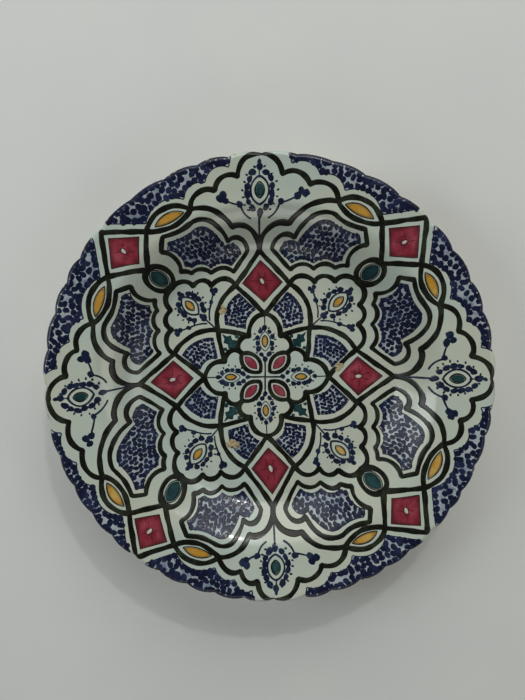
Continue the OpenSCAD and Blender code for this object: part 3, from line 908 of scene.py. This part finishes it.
def make_flakes():
    """Bare spots: each a closed low patch with a ragged edge, whose torn border stands 0.3 mm up and whose
    middle sinks to 0.16 mm, from rings at four shares of its oval."""
    body = Body()
    rim = 28
    ring_share = np.array([1.0, 0.86, 0.62, 0.3])
    ring_rise = np.array([0.1, 0.3, 0.22, 0.17])
    a = np.arange(rim) / rim * 2 * np.pi
    for x, y, half_long, half_wide, turn in FLAKES:
        ragged = 1 + 0.14 * np.sin(3 * a + rng.uniform(0, 6)) + rng.uniform(-0.2, 0.2, rim)
        off = ragged_oval(half_long, half_wide, np.radians(turn), ragged)
        middle = np.array([x, y])
        xy = middle + ring_share[:, None, None] * off[None]
        z = glaze_top(xy) + ring_rise[:, None] + rng.uniform(-0.05, 0.05, (len(ring_share), rim))
        grid = np.concatenate([xy, z[..., None]], axis=-1).reshape(-1, 3)
        height = glaze_top(middle)
        poles = np.array([[x, y, height + 0.16], [x, y, height - 0.4]])
        first = np.arange(rim)
        last = first + (len(ring_share) - 1) * rim
        tris = np.vstack([fan(last, len(grid)), fan(first, len(grid) + 1, upward=False)])
        quads = grid_faces(len(ring_share), rim, False, True)
        edge = np.concatenate([np.repeat(ring_share, rim), [0, 0]])
        body.add(np.vstack([grid, poles]), quads, tris, edge=edge)
    return body.piece("glaze_flakes")


def make_rim_wear():
    """Worn places along the lip: small touches at seeded angles, each running with the edge."""
    body = Body()
    angle = rng.uniform(0, 360, 38)
    out = edge_radius(angle) - rng.uniform(0.5, 1.0, len(angle))
    long = rng.uniform(0.8, 2.3, len(angle))
    wide = rng.uniform(0.4, 0.8, len(angle))
    add_dabs(body, from_polar(out, angle), long, wide, np.radians(angle) + np.pi / 2, 0.16, WASH_LIFT)
    return body.piece("rim_wear_spots")


glaze_flakes = make_flakes()
rim_wear = make_rim_wear()


# ---------------------------------------------------------------- effects that several finishes share
def new_group(name, inputs, outputs):
    """An empty shader node group with its named sockets."""
    group = bpy.data.node_groups.new(name, "ShaderNodeTree")
    for key, (kind, value) in inputs.items():
        socket = group.interface.new_socket(key, in_out="INPUT", socket_type="NodeSocket" + kind)
        if value is not None:
            socket.default_value = value
    for key, kind in outputs.items():
        group.interface.new_socket(key, in_out="OUTPUT", socket_type="NodeSocket" + kind)
    return group, put(group, "NodeGroupInput"), put(group, "NodeGroupOutput")


def put(tree, kind, values=None, **settings):
    """A node with its settings, and its input sockets either set to a value or linked from a socket."""
    node = tree.nodes.new(kind)
    for key, value in settings.items():
        setattr(node, key, value)
    for key, value in (values or {}).items():
        if isinstance(value, bpy.types.NodeSocket):
            tree.links.new(value, node.inputs[key])
        else:
            node.inputs[key].default_value = value
    return node


def give_out(group, out, results):
    """The group's own outputs, each linked from the socket that holds its result."""
    for key, socket in results.items():
        group.links.new(socket, out.inputs[key])
    return group


def noise(tree, place, scale, detail=3.0, rough=0.55, stretch=None):
    """Soft noise between 0 and 1 on a place, or on the place stretched along its axes."""
    if stretch:
        place = put(tree, "ShaderNodeMapping", {"Vector": place, "Scale": stretch}).outputs[0]
    values = {"Vector": place, "Scale": scale, "Detail": detail, "Roughness": rough}
    return put(tree, "ShaderNodeTexNoise", values).outputs["Fac"]


def span(tree, value, low, high, out_low=0.0, out_high=1.0):
    """A value carried smoothly from one span to another."""
    values = {"Value": value, "From Min": low, "From Max": high, "To Min": out_low, "To Max": out_high}
    return put(tree, "ShaderNodeMapRange", values, interpolation_type="SMOOTHSTEP").outputs["Result"]


def blend(tree, share, first, second):
    """Two colours mixed by a share. The colour sockets of a Mix node are its inputs 6 and 7 and output 2."""
    return put(tree, "ShaderNodeMix", {0: share, 6: first, 7: second}, data_type="RGBA").outputs[2]


def sums(tree, way, first, second=0.0):
    """Two values put together by one sum, or one value by a sine."""
    return put(tree, "ShaderNodeMath", {0: first, 1: second}, operation=way).outputs[0]


def bump(tree, height, strength, distance, under=None, invert=False):
    """A normal raised by a height, on top of the normal under it."""
    values = {"Height": height, "Strength": strength, "Distance": distance}
    if under is not None:
        values["Normal"] = under
    return put(tree, "ShaderNodeBump", values, invert=invert).outputs["Normal"]


def from_axis(tree, place):
    """Distance from the plate's axis, in metres."""
    parts = put(tree, "ShaderNodeSeparateXYZ", {"Vector": place}).outputs
    flat = put(tree, "ShaderNodeCombineXYZ", {"X": parts[0], "Y": parts[1]}).outputs[0]
    return put(tree, "ShaderNodeVectorMath", {0: flat}, operation="LENGTH").outputs["Value"]


def glaze_skin_group():
    """The fired surface of a glaze: slow ripples, orange peel and pinholes as a normal, with a mottle, a mask
    of iron specks and a roughness."""
    group, given, out = new_group(
        "fired glaze skin",
        {
            "Place": ("Vector", None), "Ripple Depth": ("Float", 0.2), "Peel Depth": ("Float", 0.1),
            "Speck Share": ("Float", 0.1), "Gloss Low": ("Float", 0.1), "Gloss High": ("Float", 0.25),
        },
        {"Mottle": "Float", "Specks": "Float", "Roughness": "Float", "Normal": "Vector"},
    )
    place = given.outputs["Place"]
    slow = noise(group, place, 34, 2)
    mottle = noise(group, place, 13, 4, 0.6)
    peel = noise(group, place, 420, 2)
    cells = put(group, "ShaderNodeTexVoronoi", {"Vector": place, "Scale": 150.0}, feature="F1")
    picked = put(group, "ShaderNodeSeparateColor", {"Color": cells.outputs["Color"]}).outputs[0]
    near = span(group, cells.outputs["Distance"], 0.02, 0.085, 1, 0)
    chosen = sums(group, "LESS_THAN", picked, given.outputs["Speck Share"])
    specks = sums(group, "MULTIPLY", near, chosen)
    ripple = bump(group, slow, given.outputs["Ripple Depth"], 0.004)
    peeled = bump(group, peel, given.outputs["Peel Depth"], 0.0004, ripple)
    pitted = bump(group, specks, 0.35, 0.0005, peeled, invert=True)
    rough = put(group, "ShaderNodeMapRange", {
        "Value": noise(group, place, 55, 4, 0.65), "From Min": 0.3, "From Max": 0.7,
        "To Min": given.outputs["Gloss Low"], "To Max": given.outputs["Gloss High"]}).outputs["Result"]
    return give_out(group, out, {"Mottle": mottle, "Specks": specks, "Roughness": rough, "Normal": pitted})


def brush_tone_group():
    """Pigment laid by a brush: it pools dark at the border of each touch, thins out in streaks and patches,
    and each touch carries its own load."""
    group, given, out = new_group(
        "brushed pigment",
        {
            "Place": ("Vector", None), "Edge": ("Float", 0.0), "Load": ("Float", 0.5),
            "Thin Colour": ("Color", (0.3, 0.3, 0.3, 1)), "Full Colour": ("Color", (0.1, 0.1, 0.1, 1)),
            "Pooled Colour": ("Color", (0.02, 0.02, 0.02, 1)), "Streak Scale": ("Float", 300.0),
            "Thin Share": ("Float", 0.5),
        },
        {"Colour": "Color"},
    )
    place = given.outputs["Place"]
    patches = noise(group, place, 62, 4, 0.6)
    drawn_out = {"Vector": place, "Rotation": (0, 0, 0.7), "Scale": (1, 0.22, 1)}
    streaks = put(group, "ShaderNodeTexNoise", {
        "Vector": put(group, "ShaderNodeMapping", drawn_out).outputs[0],
        "Scale": given.outputs["Streak Scale"], "Detail": 2.0}).outputs["Fac"]
    thin = sums(group, "ADD", span(group, patches, 0.42, 0.66), span(group, streaks, 0.45, 0.75, 0, 0.45))
    load = span(group, given.outputs["Load"], 0.0, 1.0, 1.2, 0.35)
    thin = sums(group, "MULTIPLY", sums(group, "MULTIPLY", thin, load), given.outputs["Thin Share"])
    thin = put(group, "ShaderNodeClamp", {"Value": thin}).outputs[0]
    body = blend(group, thin, given.outputs["Full Colour"], given.outputs["Thin Colour"])
    pool = span(group, given.outputs["Edge"], 0.5, 0.95, 0, 0.8)
    return give_out(group, out, {"Colour": blend(group, pool, body, given.outputs["Pooled Colour"])})


def fired_clay_group():
    """Bare earthenware: sandy grain, turning lines round the axis, darker fire marks and pale dust."""
    group, given, out = new_group(
        "bare clay",
        {
            "Place": ("Vector", None), "Clay Colour": ("Color", (0.5, 0.25, 0.12, 1)),
            "Dark Colour": ("Color", (0.3, 0.13, 0.07, 1)), "Dust Colour": ("Color", (0.6, 0.5, 0.4, 1)),
            "Turning Depth": ("Float", 0.3), "Dust Share": ("Float", 0.3),
        },
        {"Colour": "Color", "Roughness": "Float", "Normal": "Vector"},
    )
    place = given.outputs["Place"]
    wobble = sums(group, "MULTIPLY", noise(group, place, 9, 2), 0.004)
    radius = sums(group, "ADD", from_axis(group, place), wobble)
    turning = sums(group, "SINE", sums(group, "MULTIPLY", radius, 2300.0))
    grain = noise(group, place, 900, 3, 0.7)
    grit = put(group, "ShaderNodeTexVoronoi", {"Vector": place, "Scale": 340.0}, feature="F1")
    fire = span(group, noise(group, place, 15, 4, 0.6), 0.4, 0.7)
    dust = sums(group, "MULTIPLY", span(group, noise(group, place, 45, 5, 0.7), 0.45, 0.75),
                given.outputs["Dust Share"])
    shade = span(group, grain, 0.3, 0.7, 0, 0.35)
    colour = blend(group, fire, given.outputs["Clay Colour"], given.outputs["Dark Colour"])
    colour = blend(group, shade, colour, given.outputs["Dark Colour"])
    colour = blend(group, dust, colour, given.outputs["Dust Colour"])
    lines = bump(group, turning, given.outputs["Turning Depth"], 0.0006)
    gritty = bump(group, grit.outputs["Distance"], 0.25, 0.0006, lines)
    sandy = bump(group, grain, 0.35, 0.0004, gritty)
    rough = span(group, grain, 0.25, 0.75, 0.72, 0.92)
    return give_out(group, out, {"Colour": colour, "Roughness": rough, "Normal": sandy})


GLAZE_SKIN = glaze_skin_group()
BRUSH_TONE = brush_tone_group()
BARE_CLAY = fired_clay_group()


# ---------------------------------------------------------------- finishes
def new_finish(name, **constants):
    """A material with its Principled shader, whose steady values are set on its own sockets."""
    finish = bpy.data.materials.new(name)
    finish.use_nodes = True
    tree = finish.node_tree
    shader = tree.nodes["Principled BSDF"]
    for key, value in constants.items():
        shader.inputs[key.replace("_", " ")].default_value = value
    place = put(tree, "ShaderNodeTexCoord").outputs["Object"]
    return finish, tree, shader, place


def use_group(tree, group, values):
    """A group placed in a material with its own values."""
    return put(tree, "ShaderNodeGroup", values, node_tree=group)


def glaze_skin(tree, place, ripple, peel, speck_share, gloss):
    """The fired skin with its own depths, share of specks, and lowest and highest roughness."""
    return use_group(tree, GLAZE_SKIN, {
        "Place": place, "Ripple Depth": ripple, "Peel Depth": peel, "Speck Share": speck_share,
        "Gloss Low": gloss[0], "Gloss High": gloss[1]})


def dress(tree, shader, colour, skin):
    """The colour goes to the shader, and so do the roughness and the normal that a skin or clay gives."""
    tree.links.new(colour, shader.inputs["Base Color"])
    tree.links.new(skin.outputs["Roughness"], shader.inputs["Roughness"])
    tree.links.new(skin.outputs["Normal"], shader.inputs["Normal"])


def white_glaze_finish():
    """Milky tin glaze, a little green where thick and warm where thin, with a few iron specks."""
    finish, tree, shader, place = new_finish(
        "milky tin glaze", IOR=1.5, Coat_Weight=0.25, Coat_Roughness=0.06, Coat_IOR=1.5)
    skin = glaze_skin(tree, place, 0.09, 0.10, 0.045, (0.12, 0.22))
    cool = (0.57, 0.67, 0.60, 1)
    warm = (0.64, 0.69, 0.57, 1)
    colour = blend(tree, span(tree, skin.outputs["Mottle"], 0.36, 0.64), cool, warm)
    clouds = span(tree, noise(tree, place, 70, 5, 0.65), 0.55, 0.8, 0, 0.16)
    colour = blend(tree, clouds, colour, (0.50, 0.56, 0.54, 1))
    colour = blend(tree, sums(tree, "MULTIPLY", skin.outputs["Specks"], 0.7), colour, (0.16, 0.10, 0.05, 1))
    dress(tree, shader, colour, skin)
    return finish


def back_glaze_finish():
    """A thin wash of the same glaze: clay shows where it is thin, with more specks and a satin skin."""
    finish, tree, shader, place = new_finish(
        "thin back glaze", IOR=1.5, Coat_Weight=0.25, Coat_Roughness=0.12)
    skin = glaze_skin(tree, place, 0.3, 0.25, 0.16, (0.26, 0.46))
    radius = from_axis(tree, place)
    wiped = sums(tree, "SINE", sums(tree, "MULTIPLY", radius, 700.0))
    worn = sums(tree, "ADD", noise(tree, place, 24, 5, 0.7), sums(tree, "MULTIPLY", wiped, 0.03))
    thin = span(tree, worn, 0.52, 0.66, 0, 0.75)
    mottle = span(tree, skin.outputs["Mottle"], 0.35, 0.65)
    colour = blend(tree, mottle, (0.60, 0.60, 0.50, 1), (0.68, 0.64, 0.53, 1))
    colour = blend(tree, thin, colour, (0.50, 0.33, 0.21, 1))
    near_foot = span(tree, radius, 0.088, 0.100, 0.6, 0)
    colour = blend(tree, near_foot, colour, (0.47, 0.29, 0.18, 1))
    colour = blend(tree, sums(tree, "MULTIPLY", skin.outputs["Specks"], 0.8), colour, (0.12, 0.07, 0.04, 1))
    dress(tree, shader, colour, skin)
    return finish


def clay_finish(name, clay, dark, dust, turning, dust_share):
    """Bare clay in three tones, with a depth for its turning lines and a share of dust."""
    finish, tree, shader, place = new_finish(name, IOR=1.45)
    bare = use_group(tree, BARE_CLAY, {
        "Place": place, "Clay Colour": clay, "Dark Colour": dark, "Dust Colour": dust,
        "Turning Depth": turning, "Dust Share": dust_share})
    dress(tree, shader, bare.outputs["Colour"], bare)
    return finish


def flake_finish():
    """Crumbled ochre clay under a flake: pale and tan grains with dark brown pits."""
    finish, tree, shader, place = new_finish("tan clay under flakes", IOR=1.45, Roughness=0.85)
    grain = span(tree, noise(tree, place, 620, 3, 0.7), 0.36, 0.62)
    colour = blend(tree, grain, (0.33, 0.23, 0.10, 1), (0.62, 0.54, 0.33, 1))
    pits = span(tree, noise(tree, place, 380, 2), 0.54, 0.66, 0, 0.9)
    colour = blend(tree, pits, colour, (0.09, 0.05, 0.022, 1))
    tree.links.new(colour, shader.inputs["Base Color"])
    tree.links.new(bump(tree, grain, 0.5, 0.0003), shader.inputs["Normal"])
    return finish


def paint_finish(name, thin, full, pooled, thin_share, streak=300.0, centre=None):
    """An enamel colour under the fired skin, from its tone where it is thin, full and pooled at an edge.
    Where a centre colour is given, the brush has gone over the middle of the shape a second time."""
    finish, tree, shader, place = new_finish(name, IOR=1.4)
    skin = glaze_skin(tree, place, 0.09, 0.12, 0.03, (0.16, 0.32))
    edge = put(tree, "ShaderNodeAttribute", attribute_name="edge").outputs["Fac"]
    tone = put(tree, "ShaderNodeAttribute", attribute_name="tone").outputs["Fac"]
    pigment = use_group(tree, BRUSH_TONE, {
        "Place": place, "Edge": edge, "Load": tone, "Thin Colour": thin, "Full Colour": full,
        "Pooled Colour": pooled, "Streak Scale": streak, "Thin Share": thin_share})
    colour = pigment.outputs["Colour"]
    if centre:
        middle = span(tree, edge, 0.12, 0.5, 0.85, 0)
        broken = span(tree, noise(tree, place, 130, 3), 0.38, 0.6)
        colour = blend(tree, sums(tree, "MULTIPLY", middle, broken), colour, centre)
    colour = blend(tree, sums(tree, "MULTIPLY", skin.outputs["Specks"], 0.5), colour, pooled)
    dress(tree, shader, colour, skin)
    return finish


def wash_finish():
    """The pale wash under the cobalt touches, where some blue has bled into the white."""
    finish, tree, shader, place = new_finish(
        "bled cobalt wash", IOR=1.5, Coat_Weight=0.25, Coat_Roughness=0.08, Coat_IOR=1.5)
    skin = glaze_skin(tree, place, 0.09, 0.12, 0.05, (0.15, 0.28))
    bled = span(tree, noise(tree, place, 150, 4, 0.6), 0.36, 0.68)
    slow = span(tree, skin.outputs["Mottle"], 0.4, 0.62, 0, 0.6)
    colour = blend(tree, bled, (0.44, 0.53, 0.57, 1), (0.15, 0.20, 0.30, 1))
    colour = blend(tree, slow, colour, (0.60, 0.65, 0.66, 1))
    dress(tree, shader, colour, skin)
    return finish


milky = white_glaze_finish()
backing = back_glaze_finish()
wall_clay = clay_finish(
    "red clay", (0.42, 0.19, 0.10, 1), (0.27, 0.11, 0.06, 1), (0.55, 0.42, 0.31, 1), 0.35, 0.35)
foot_clay = clay_finish(
    "scuffed foot clay", (0.38, 0.17, 0.09, 1), (0.22, 0.09, 0.05, 1), (0.52, 0.42, 0.33, 1), 0.6, 0.6)
flake_clay = flake_finish()
strap_black = paint_finish(
    "brown black enamel", (0.030, 0.038, 0.022, 1), (0.006, 0.0065, 0.004, 1), (0.003, 0.003, 0.002, 1), 0.9)
wash = wash_finish()
cobalt = paint_finish(
    "cobalt touches",
    (0.024, 0.034, 0.095, 1), (0.007, 0.010, 0.036, 1), (0.003, 0.004, 0.013, 1), 0.85, 420.0)
flower_blue = paint_finish(
    "flower cobalt",
    (0.030, 0.055, 0.110, 1), (0.007, 0.012, 0.038, 1), (0.004, 0.006, 0.015, 1), 0.6, 420.0)
crimson = paint_finish(
    "crimson enamel",
    (0.42, 0.075, 0.105, 1), (0.28, 0.030, 0.050, 1), (0.085, 0.012, 0.018, 1), 0.9, 210.0,
    (0.13, 0.012, 0.03, 1))
dark_crimson = paint_finish(
    "dark crimson touches",
    (0.20, 0.024, 0.038, 1), (0.085, 0.010, 0.018, 1), (0.03, 0.005, 0.008, 1), 0.8, 260.0)
petal_red = paint_finish(
    "petal red enamel", (0.40, 0.10, 0.13, 1), (0.27, 0.04, 0.06, 1), (0.10, 0.02, 0.03, 1), 0.8, 260.0)
ochre = paint_finish(
    "ochre enamel", (0.72, 0.48, 0.14, 1), (0.58, 0.30, 0.035, 1), (0.22, 0.11, 0.02, 1), 0.8, 260.0)
teal = paint_finish(
    "blue green enamel",
    (0.03, 0.10, 0.10, 1), (0.010, 0.042, 0.050, 1), (0.005, 0.018, 0.022, 1), 0.8, 260.0)


def finish_piece(piece, finish, slot, *nodes):
    """Gives a piece its finish and hides the frame nodes that it stands for. The slot is not used."""
    piece.data.materials.clear()
    piece.data.materials.append(finish)
    if nodes:
        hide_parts(*nodes)


finish_piece(glaze, milky, "white_glaze", "face_glaze")
finish_piece(clay_wall, wall_clay, "clay", "clay_body")
finish_piece(back_glaze, backing, "back_glaze", "back_glaze")
finish_piece(straps, strap_black, "strap_black", "strap_lines")
finish_piece(fine_lines, strap_black, "strap_black")
finish_piece(rim_wash, wash, "cobalt", "cobalt_rim_field")
finish_piece(cloud_wash, wash, "cobalt", "cobalt_clouds")
finish_piece(fan_wash, wash, "cobalt", "cobalt_fans")
for piece in (rim_dabs, cloud_dabs, fan_dabs):
    finish_piece(piece, cobalt, "cobalt")
finish_piece(middle_diamonds, crimson, "crimson", "middle_lozenges")
finish_piece(corner_squares, crimson, "crimson", "corner_lozenges")
finish_piece(diamond_touches, dark_crimson, "crimson")
finish_piece(rim_wear, flake_clay, "clay")
finish_piece(red_petals, petal_red, "crimson", "red_petals")
finish_piece(yellow_leaves, ochre, "ochre", "yellow_leaves")
finish_piece(green_leaves, teal, "green", "green_leaves")
finish_piece(green_stars, teal, "green", "green_stars")
finish_piece(axis_flowers, flower_blue, "flower_blue", "axis_flowers")
finish_piece(corner_flowers, flower_blue, "flower_blue", "corner_flowers")
finish_piece(petal_flowers, flower_blue, "flower_blue", "petal_flowers")
finish_piece(green_eyes, teal, "green")
finish_piece(yellow_eyes, ochre, "ochre")
finish_piece(white_spots, milky, "white_glaze")
finish_piece(glaze_flakes, flake_clay, "clay")

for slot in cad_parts["foot_ring"].material_slots:
    slot.material = foot_clay


# ---------------------------------------------------------------- floor, light and camera
FLOOR_REACH = 8
FLOOR_Z = -0.0004
PLATE_MIDDLE = (0, 0, 0.03)


def make_floor():
    """A pale flat sheet just under the plate's foot: a square grid at one height, in metres."""
    side = np.linspace(-FLOOR_REACH, FLOOR_REACH, 13)
    x, y = np.meshgrid(side, side, indexing="ij")
    points = np.stack([x, y, np.full(x.shape, FLOOR_Z)], axis=-1).reshape(-1, 3)
    mesh = bpy.data.meshes.new("studio_floor")
    faces = grid_faces(len(side), len(side), False, False)[:, ::-1]
    mesh.from_pydata(points.tolist(), [], faces.tolist())
    floor = bpy.data.objects.new("studio_floor", mesh)
    bpy.context.scene.collection.objects.link(floor)
    finish, tree, shader, place = new_finish("pale matt floor", Roughness=0.85)
    tone = span(tree, noise(tree, place, 6, 3), 0.3, 0.7)
    colour = blend(tree, tone, (0.84, 0.86, 0.84, 1), (0.87, 0.89, 0.86, 1))
    tree.links.new(colour, shader.inputs["Base Color"])
    mesh.materials.append(finish)


def add_softbox(name, place, width, height, power, colour):
    """A rectangular studio light that faces the middle of the plate."""
    light = bpy.data.lights.new(name, "AREA")
    light.shape = "RECTANGLE"
    light.size = width
    light.size_y = height
    light.energy = power
    light.color = colour
    holder = bpy.data.objects.new(name, light)
    bpy.context.scene.collection.objects.link(holder)
    holder.location = place
    way = np.array(PLATE_MIDDLE, float) - np.array(place, float)
    way /= np.linalg.norm(way)
    pitch = np.arccos(np.clip(-way[2], -1, 1))
    heading = np.arctan2(-way[0], way[1])
    holder.rotation_euler = (pitch, 0, heading)


make_floor()
add_softbox("key", (0.15, 2.05, 1.3), 2.6, 1.5, 26, (1.0, 0.99, 0.95))
add_softbox("streak", (0.40, 1.50, 1.45), 0.13, 0.05, 4.5, (1.0, 1.0, 0.98))
add_softbox("left", (-1.45, 0.25, 0.95), 0.6, 0.9, 6.5, (0.94, 0.98, 1.0))
add_softbox("right", (1.5, -0.2, 1.0), 0.9, 0.7, 3.0, (1.0, 0.98, 0.94))
add_softbox("front", (0.0, -1.5, 1.0), 1.0, 0.5, 3.0, (1.0, 0.97, 0.92))

world = bpy.data.worlds.new("studio")
world.use_nodes = True
sky = world.node_tree.nodes["Background"]
sky.inputs["Color"].default_value = (0.80, 0.84, 0.84, 1)
sky.inputs["Strength"].default_value = 0.10
bpy.context.scene.world = world
bpy.context.scene.view_settings.view_transform = "Standard"

view = bpy.data.cameras.new("view")
view.lens = 27.05
view.sensor_width = 36
camera = bpy.data.objects.new("view", view)
bpy.context.scene.collection.objects.link(camera)
camera.location = (-0.006, 0.048, 0.517)
camera.rotation_euler = (np.radians(-2.6), 0, 0)
bpy.context.scene.camera = camera
